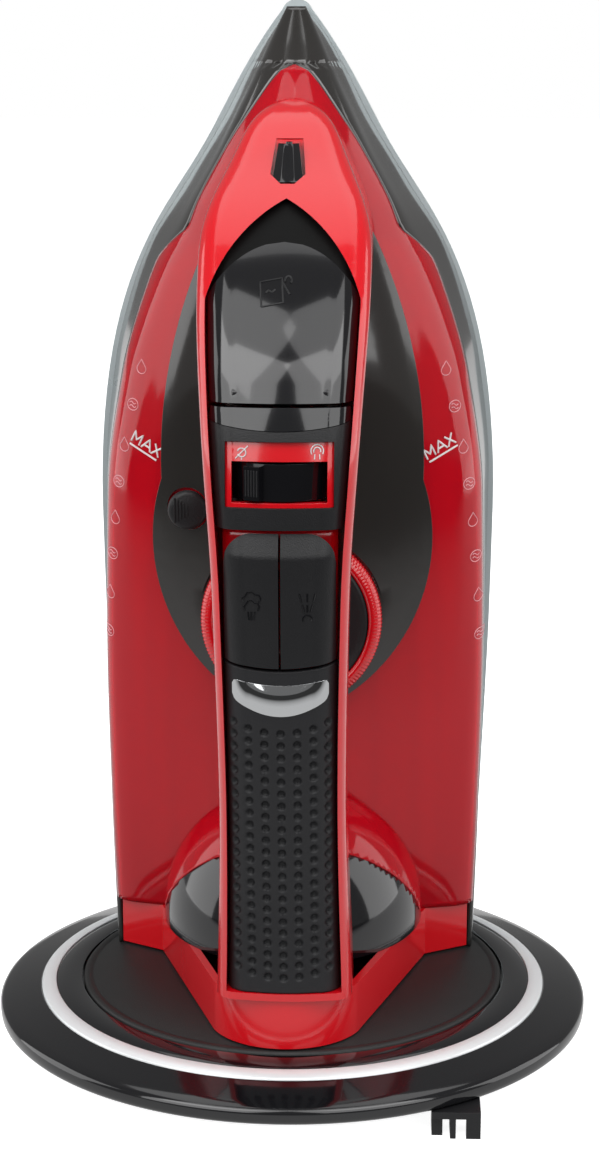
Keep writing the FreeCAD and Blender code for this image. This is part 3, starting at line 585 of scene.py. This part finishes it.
def buildFrame():
    frameMesh = bmesh.new()
    for node in ("handle_frame", "heel_band"):
        frameMesh.from_mesh(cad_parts[node].data)
    piece = newPiece("redFrame", frameMesh, "iron", redGloss,
                     ["handle_frame", "heel_band"], 32)
    soften(piece, 0.45, 3)
    dress("dialPanel", "dial_panel", "iron", smokeGloss, 0.3)
    # the arch bezel carries painted shade: its near-black colour stands in for the shadow in the recess
    dress("archBezel", "arch_bezel", "iron", recessShadeBlack, 0.2)
    dress("handleCover", "handle_cover", "iron", blackSatin, 0.3)
    dress("doorSill", "door_sill", "iron", blackGloss, 0.2)
    dress("sliderBezel", "slider_bezel", "iron", redGloss, 0.5)
    dress("steamLever", "steam_lever", "lever", blackGloss, 0.4)
    dress("solePlate", "soleplate", "iron", soleCoat, 0.6)
    dress("sprayNozzle", "spray_nozzle", "iron", blackGloss, 0.25)


def leverRidges():
    ridges = bmesh.new()
    for index in range(lever["ridges"]):
        made = bmesh.ops.create_cube(ridges, size=1)["verts"]
        aside = (index - lever["ridges"] // 2) * lever["pitch"]
        bmesh.ops.scale(ridges, verts=made, vec=(0.45 * mm, 0.5 * mm, 6.8 * mm))
        bmesh.ops.translate(ridges, verts=made, vec=(aside * mm, 0, 0))
    turn = Matrix.Rotation(math.radians(lever["turn"]), 3, "Z")
    bmesh.ops.translate(ridges, verts=ridges.verts, vec=(0, (lever["face"] - lever["axis"]) * mm, 0))
    bmesh.ops.rotate(ridges, verts=ridges.verts, cent=(0, 0, 0), matrix=turn)
    bmesh.ops.translate(ridges, verts=ridges.verts, vec=place(0, lever["axis"], lever["height"]))
    soften(newPiece("leverRidges", ridges, "lever", blackSatin), 0.12, 2)


buildGrip()
buildKeys()
buildLens()
buildDoor()
buildFrame()
leverRidges()
print("handle ready")


# heel
dome = {"centre": (0, 7, 17), "radius": 40, "wide": 0.975, "deep": 1.1, "foot": 15.3, "back": 11,
        "split": (3, 14), "lean": (-23, 29), "gap": 0.25, "ribs": 7, "ribInset": 3.2,
        "ribPitch": 8, "ribFirst": 2, "ribBack": 7}


def domePart(name, material, front, nodes):
    mesh = bmesh.new()
    bmesh.ops.create_uvsphere(mesh, u_segments=128, v_segments=80, radius=dome["radius"] * mm)
    bmesh.ops.scale(mesh, verts=mesh.verts, vec=(dome["wide"], dome["deep"], 1))
    bmesh.ops.translate(mesh, verts=mesh.verts, vec=place(*dome["centre"]))
    depth, height = dome["split"]
    back, up = dome["lean"]
    planes = [(place(0, 0, dome["foot"]), (0, 0, -1)), (place(0, dome["back"], 0), (0, 1, 0)),
              (place(0, depth, height), (0, up, -back) if front else (0, -up, back))]
    shift = Vector((0, up, -back)).normalized() * (0 if front else dome["gap"] * mm)
    planes[2] = (planes[2][0] + shift, planes[2][1])
    for spot, way in planes:
        bmesh.ops.bisect_plane(mesh, geom=mesh.verts[:] + mesh.edges[:] + mesh.faces[:],
                               dist=1e-7, plane_co=spot, plane_no=way, clear_outer=True)
    thicken(newPiece(name, mesh, "iron", material, nodes, 60), 1.8)


def domeRibs():  # moulded ribs seen through the clear half of the dome
    ribs = bmesh.new()
    deep, reach = dome["centre"][1], dome["radius"] - dome["ribInset"]
    for index in range(dome["ribs"]):
        angle = math.radians(dome["ribPitch"] * index + dome["ribFirst"])
        radius, rise = reach * math.cos(angle), dome["centre"][2] + reach * math.sin(angle)
        corners = [ribs.verts.new(place(dome["wide"] * radius, deep + step, rise))
                   for step in (0, 0.7)]
        lips = ribs.edges.new(corners)
        bmesh.ops.spin(ribs, geom=corners + [lips], cent=place(0, deep, rise), axis=(0, 0, 1),
                       dvec=(0, 0, 0), angle=-math.pi, steps=64, use_merge=False)
    depth, height = dome["split"]
    back, up = dome["lean"]
    bmesh.ops.bisect_plane(ribs, geom=ribs.verts[:] + ribs.edges[:] + ribs.faces[:], dist=1e-7,
                           plane_co=place(0, depth + dome["ribBack"], height),
                           plane_no=(0, -up, back), clear_outer=True)
    thicken(newPiece("domeRibs", ribs, "iron", ribRed), 0.6)


domePart("heelCover", blackGloss, True, ["heel_cover"])
domePart("heelDome", clearRed, False, ["heel_dome"])
domeRibs()
print("heel ready")


# dial and self-clean button
dial = {"height": 110, "radius": 26.4, "bore": 22.4, "seat": -3.7, "front": -10, "knurls": 150,
        "knurl": 0.28, "arc": 20.6, "arcSpan": 115, "arcTurn": 55}
cleanKey = {"side": -30, "height": 142, "front": -6.3, "ridges": 5, "pitch": 0.9, "longest": 7.4}


def buildDial():
    centre = place(0, 0, dial["height"])
    outer, bore, seat, front = dial["radius"], dial["bore"], dial["seat"], dial["front"]
    ring = spun([(bore, seat), (outer - 0.6, seat), (outer, seat - 0.8), (outer, front + 2.6),
                 (outer - 0.5, front + 1.2), (outer - 1.8, front + 0.3), (outer - 2.6, front),
                 (bore + 0.8, front + 0.1), (bore, front + 0.7), (bore, seat)],
                dial["knurls"] * 4, centre)
    for corner in ring.verts:
        spoke = Vector((corner.co.x - centre.x, 0, corner.co.z - centre.z))
        turn = math.atan2(spoke.z, spoke.x) * dial["knurls"]
        if spoke.length > (outer - 2) * mm:
            corner.co -= spoke.normalized() * dial["knurl"] * mm * (0.5 + 0.5 * math.cos(turn))
    newPiece("dialRing", ring, "dial", redGloss, ["temperature_dial"], 60)
    cap = spun([(0, front + 1.4), (bore - 3.2, front + 1.4), (bore - 2.2, front + 1.1),
                (bore - 0.9, front + 0.6), (bore - 0.3, front + 0.9), (bore - 0.2, front + 1.6),
                (bore - 0.2, seat - 0.3), (0, seat - 0.3)], 192, centre)
    newPiece("dialCap", cap, "dial", blackSatin, ["dial_cap"], 40)
    arc = spun([(dial["arc"], front + 1.25), (dial["arc"] + 0.35, front + 1.0)], 60,
               centre, dial["arcSpan"])
    bmesh.ops.rotate(arc, verts=arc.verts, cent=centre,
                     matrix=Matrix.Rotation(math.radians(dial["arcTurn"]), 3, "Y"))
    thicken(newPiece("dialMark", arc, "dial", silverTrim), 0.2)


def buildCleanKey():
    centre, front = place(cleanKey["side"], 0, cleanKey["height"]), cleanKey["front"]
    knob = spun([(0, front), (4.4, front), (5.2, -6.0), (5.7, -5.3), (5.75, -4.7), (0, -4.7)], 96,
                centre)
    piece = newPiece("cleanKey", knob, "clean_key", blackSatin,
                     ["self_clean_button"], 50)
    ridges = bmesh.new()
    for index in range(cleanKey["ridges"]):
        made = bmesh.ops.create_cube(ridges, size=1)["verts"]
        aside = (index - cleanKey["ridges"] + 1) * cleanKey["pitch"]
        bmesh.ops.scale(ridges, verts=made,
                        vec=(0.5 * mm, 0.5 * mm, (cleanKey["longest"] - index) * mm))
        bmesh.ops.translate(ridges, verts=made, vec=(aside * mm, front * mm, 0))
    bmesh.ops.translate(ridges, verts=ridges.verts, vec=centre)
    soften(newPiece("cleanRidges", ridges, "clean_key", blackSatin), 0.1, 2)


buildDial()
buildCleanKey()
print("controls ready")


# printed and engraved marks
def closeSteps(stroke, step=0.6):
    points = [stroke[0]]
    for a, b in zip(stroke, stroke[1:]):
        count = max(1, math.ceil(math.hypot(b[0] - a[0], b[1] - a[1]) / step))
        points += [(mix(a[0], b[0], index / count), mix(a[1], b[1], index / count))
                   for index in range(1, count + 1)]
    return points


def ring(x, height, radius, start=0, end=360):
    count = max(6, round((end - start) / 24))
    turns = [math.radians(mix(start, end, index / count)) for index in range(count + 1)]
    return [(x + radius * math.cos(turn), height + radius * math.sin(turn)) for turn in turns]


def wave(x, height, length, swing=0.35, count=8):
    return [(x + length * (index / count - 0.5), height + swing * math.sin(index / count * 6.28))
            for index in range(count + 1)]


def mark(name, strokes, depthAt, width, body, material, middle=(0, 0), tilt=0):
    lines = bpy.data.curves.new(name, "CURVE")
    lines.dimensions = "3D"
    lines.bevel_depth = width / 2 * mm
    lines.bevel_resolution = 1
    lean = math.radians(tilt)
    for stroke in strokes:
        points = []
        for x, height in closeSteps(stroke):
            x, height = (x * math.cos(lean) - height * math.sin(lean),
                         x * math.sin(lean) + height * math.cos(lean))
            x, height = middle[0] + x, middle[1] + height
            points.append(place(x, depthAt(x, height), height))
        spline = lines.splines.new("POLY")
        spline.points.add(len(points) - 1)
        for knot, point in zip(spline.points, points):
            knot.co = (*point, 1)
    drawn = bpy.data.objects.new(name + "Lines", lines)
    bpy.context.scene.collection.objects.link(drawn)
    bpy.context.view_layer.update()
    shape = bpy.data.meshes.new_from_object(drawn)
    bpy.data.objects.remove(drawn)
    mesh = bmesh.new()
    mesh.from_mesh(shape)
    bpy.data.meshes.remove(shape)
    return newPiece(name, mesh, body, material)


puff = [(-2, 0.2), (-2.3, 1.2), (-1.5, 1.9), (-1, 2.8), (0.2, 3.0), (1, 2.3), (2, 2.2), (2.4, 1.2),
        (2, 0.2)]
steamIcon = [puff, [(x * 0.85, height - 2.2) for x, height in puff]] + [
    [(x, -2.4), (x * 0.7, -4.6)] for x in (-0.9, 0, 0.9)]
sprayIcon = [[(-1.1, -4.8), (-1.1, -3.9), (-0.6, -3.2), (0.6, -3.2), (1.1, -3.9), (1.1, -4.8)]] + [
    [(x * 0.45, -2.4), (x * 0.75, -0.4)] for x in (-1.8, 0, 1.8)] + [
    [(x * 0.85, 0.4), (x * 1.15, 2.6)] for x in (-1.8, 0, 1.8)]
jugIcon = [[(-3.1, -2.8), (2.6, -2.8), (3.1, 2.9), (-2.6, 2.9), (-3.1, -2.8)],
           [(-1.6, 0.2), (-0.8, 0.7), (0.1, 0.1), (1, 0.6)], [(3.0, 2.2), (4.6, -1.2)],
           ring(4.7, 2.2, 0.9, -60, 200)]
fullMark = [[(-4.6, -1.6), (-4.6, 1.7), (-3.3, -0.6), (-2, 1.7), (-2, -1.6)],
            [(-1.2, -1.6), (0.3, 1.7), (1.8, -1.6)], [(-0.6, -0.5), (1.2, -0.5)],
            [(2.2, -1.6), (4.6, 1.7)], [(2.2, 1.7), (4.6, -1.6)], [(-4.6, -2.6), (4.6, -2.6)]]
offIcon = [ring(0, -0.2, 1.1, 200, 520), [(-1.6, -1.7), (1.6, 1.5)], [(0, -1.4), (0, -2)]]
onIcon = [ring(0, 0.3, 1.6, -30, 210), ring(0, 0.3, 0.9, -20, 200), [(-0.6, -0.5), (-0.7, -1.8)],
          [(0.6, -0.5), (0.7, -1.8)]]
dropIcon = [[(0, 2.2), (-1.3, 0.1)] + ring(0, -0.5, 1.4, 160, 380) + [(0, 2.2)]]
leafIcon = [ring(0, 0, 1.7), wave(0, 0.5, 2), wave(0, -0.5, 2)]
bezelSink = 0.9
careHeights = (181, 170, 158, 147, 136, 125, 113, 101)
careInset = 2.6


def onKey(x, height):
    return crownDepth(x, height) - keyCap["proud"]


def onBezel(x, height):
    return crownDepth(x, height) + bezelSink


mark("steamKeyIcon", steamIcon, onKey, 0.5, "steam_key", blackGloss, (-7.2, 134.4))
mark("sprayKeyIcon", sprayIcon, onKey, 0.5, "spray_key", blackGloss, (7.2, 134.4))
mark("doorIcon", jugIcon, crownDepth, 0.55, "door", blackSatin, (-2.8, 211.4), 10)
mark("leverOffIcon", offIcon, onBezel, 0.3, "iron", printWhite, (-9.6, 173.4))
mark("leverOnIcon", onIcon, onBezel, 0.3, "iron", printWhite, (9.6, 173.4))
for side in (1, -1):
    where = "Right" if side > 0 else "Left"
    mark("full" + where, fullMark, hullDepth, 0.62, "iron", printWhite,
         (side * 42.6, 159), side * 26)
    for index, height in enumerate(careHeights):
        edge = side * (shoulderHalf(height) + careInset)
        mark(f"care{where}{index}", (dropIcon, leafIcon)[index % 2], hullDepth, 0.26, "iron",
             printPink, (edge, height))
print("marks ready")


# nodes kept as the CAD has them
inside = {
    "heel_plate": blackSatin, "socket_housing": paleNylon, "socket_contacts": brassMetal,
    "heel_feet": footRubber, "heel_screws": brightMetal, "element_wires": siliconeHose,
    "steam_chamber": castMetal, "chamber_cover": castMetal, "heating_element": brightMetal,
    "thermostat": brightMetal, "thermal_fuse": paleNylon, "heat_shield": paleNylon,
    "filler_neck": paleNylon, "neck_seal": footRubber, "nozzle_tip": blackGloss,
    "steam_pump": paleNylon, "spray_pump": paleNylon, "spray_hose": siliconeHose,
    "steam_hose": siliconeHose, "indicator_lamp": lampGlass, "door_hinge_pin": blackGloss,
    "valve_seat": footRubber, "valve_rod": brightMetal, "steam_piston": paleNylon,
    "spray_piston": paleNylon, "dial_shaft": paleNylon,
}
for node, material in inside.items():
    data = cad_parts[node].data
    data.materials.clear()
    data.materials.append(material)
print("inner parts dressed")


# studio
def addLight(name, spot, target, width, height, strength, tone=(1, 1, 1)):
    lamp = bpy.data.lights.new(name, "AREA")
    lamp.shape = "RECTANGLE"
    lamp.size, lamp.size_y = width, height
    lamp.energy = strength * math.pi * width * height
    lamp.color = tone
    holder = bpy.data.objects.new(name, lamp)
    holder.location = spot
    aim = Vector(target) - Vector(spot)
    holder.rotation_euler = aim.to_track_quat("-Z", "Y").to_euler()
    holder.visible_camera = False
    bpy.context.scene.collection.objects.link(holder)


def floorMaterial():
    material = bpy.data.materials.new("floorPale")
    material.use_nodes = True
    nodes, links = material.node_tree.nodes, material.node_tree.links
    paper = nodes["Principled BSDF"]
    paper.inputs["Base Color"].default_value = (0.9, 0.9, 0.9, 1)
    paper.inputs["Roughness"].default_value = 0.8
    paper.inputs["Emission Color"].default_value = (1, 1, 1, 1)
    paper.inputs["Emission Strength"].default_value = 0.9
    where = nodes.new("ShaderNodeTexCoord")
    split = nodes.new("ShaderNodeSeparateXYZ")
    fade = nodes.new("ShaderNodeMapRange")
    fade.inputs["From Min"].default_value = -0.42
    fade.inputs["From Max"].default_value = -0.16
    fade.inputs["To Min"].default_value = 0.05
    fade.inputs["To Max"].default_value = 0.75
    seen = nodes.new("ShaderNodeEmission")
    path = nodes.new("ShaderNodeLightPath")
    blend = nodes.new("ShaderNodeMixShader")
    links.new(where.outputs["Object"], split.inputs["Vector"])
    links.new(split.outputs["Y"], fade.inputs["Value"])
    links.new(fade.outputs["Result"], seen.inputs["Color"])
    links.new(path.outputs["Is Camera Ray"], blend.inputs["Fac"])
    links.new(seen.outputs[0], blend.inputs[1])
    links.new(paper.outputs[0], blend.inputs[2])
    links.new(blend.outputs[0], nodes["Material Output"].inputs["Surface"])
    return material


def buildStudio():
    mesh = bmesh.new()
    bmesh.ops.create_grid(mesh, x_segments=1, y_segments=1, size=6)
    data = bpy.data.meshes.new("floor")
    mesh.to_mesh(data)
    floor = bpy.data.objects.new("floor", data)
    bpy.context.scene.collection.objects.link(floor)
    data.materials.append(floorMaterial())
    bpy.context.scene.view_settings.view_transform = "Standard"
    world = bpy.data.worlds.new("studio")
    bpy.context.scene.world = world
    world.use_nodes = True
    nodes, links = world.node_tree.nodes, world.node_tree.links
    sky = nodes["Background"]
    sky.inputs["Color"].default_value = (1, 1, 1, 1)
    sky.inputs["Strength"].default_value = 0.22
    seen = nodes.new("ShaderNodeBackground")
    seen.inputs["Color"].default_value = (1, 1, 1, 1)
    seen.inputs["Strength"].default_value = 1.0
    path = nodes.new("ShaderNodeLightPath")
    blend = nodes.new("ShaderNodeMixShader")
    links.new(path.outputs["Is Camera Ray"], blend.inputs["Fac"])
    links.new(sky.outputs[0], blend.inputs[1])
    links.new(seen.outputs[0], blend.inputs[2])
    links.new(blend.outputs[0], nodes["World Output"].inputs["Surface"])
    for side, strength in ((-1, 2.5), (1, 2.2)):
        addLight("sideBox", (side * 0.66, -1.0, 0.95), (0, 0, 0.2), 1.14, 1.5, strength)
        addLight("foreBox", (side * 0.52, -0.66, 1.45), (0, 0.02, 0.24), 0.86, 0.95, strength * 0.7)
        addLight("flankBox", (side * 1.15, 0.15, 0.5), (0, 0, 0.17), 0.9, 1.0, 1.7)
    addLight("topBox", (0, 0.4, 1.5), (0, 0, 0.1), 1.2, 0.9, 1.0)


def buildCamera():
    side, down, distance, height = math.radians(2.2), math.radians(13.2), 0.693, 0.302
    camera = bpy.data.cameras.new("view")
    camera.lens = 76.2
    camera.clip_start = 0.01
    holder = bpy.data.objects.new("view", camera)
    holder.location = (distance * math.sin(side), -distance * math.cos(side), height)
    yaw = side - math.radians(0.19)
    holder.rotation_euler = (math.pi / 2 - down, 0, yaw)
    bpy.context.scene.collection.objects.link(holder)
    bpy.context.scene.camera = holder


buildStudio()
buildCamera()
print("studio ready")
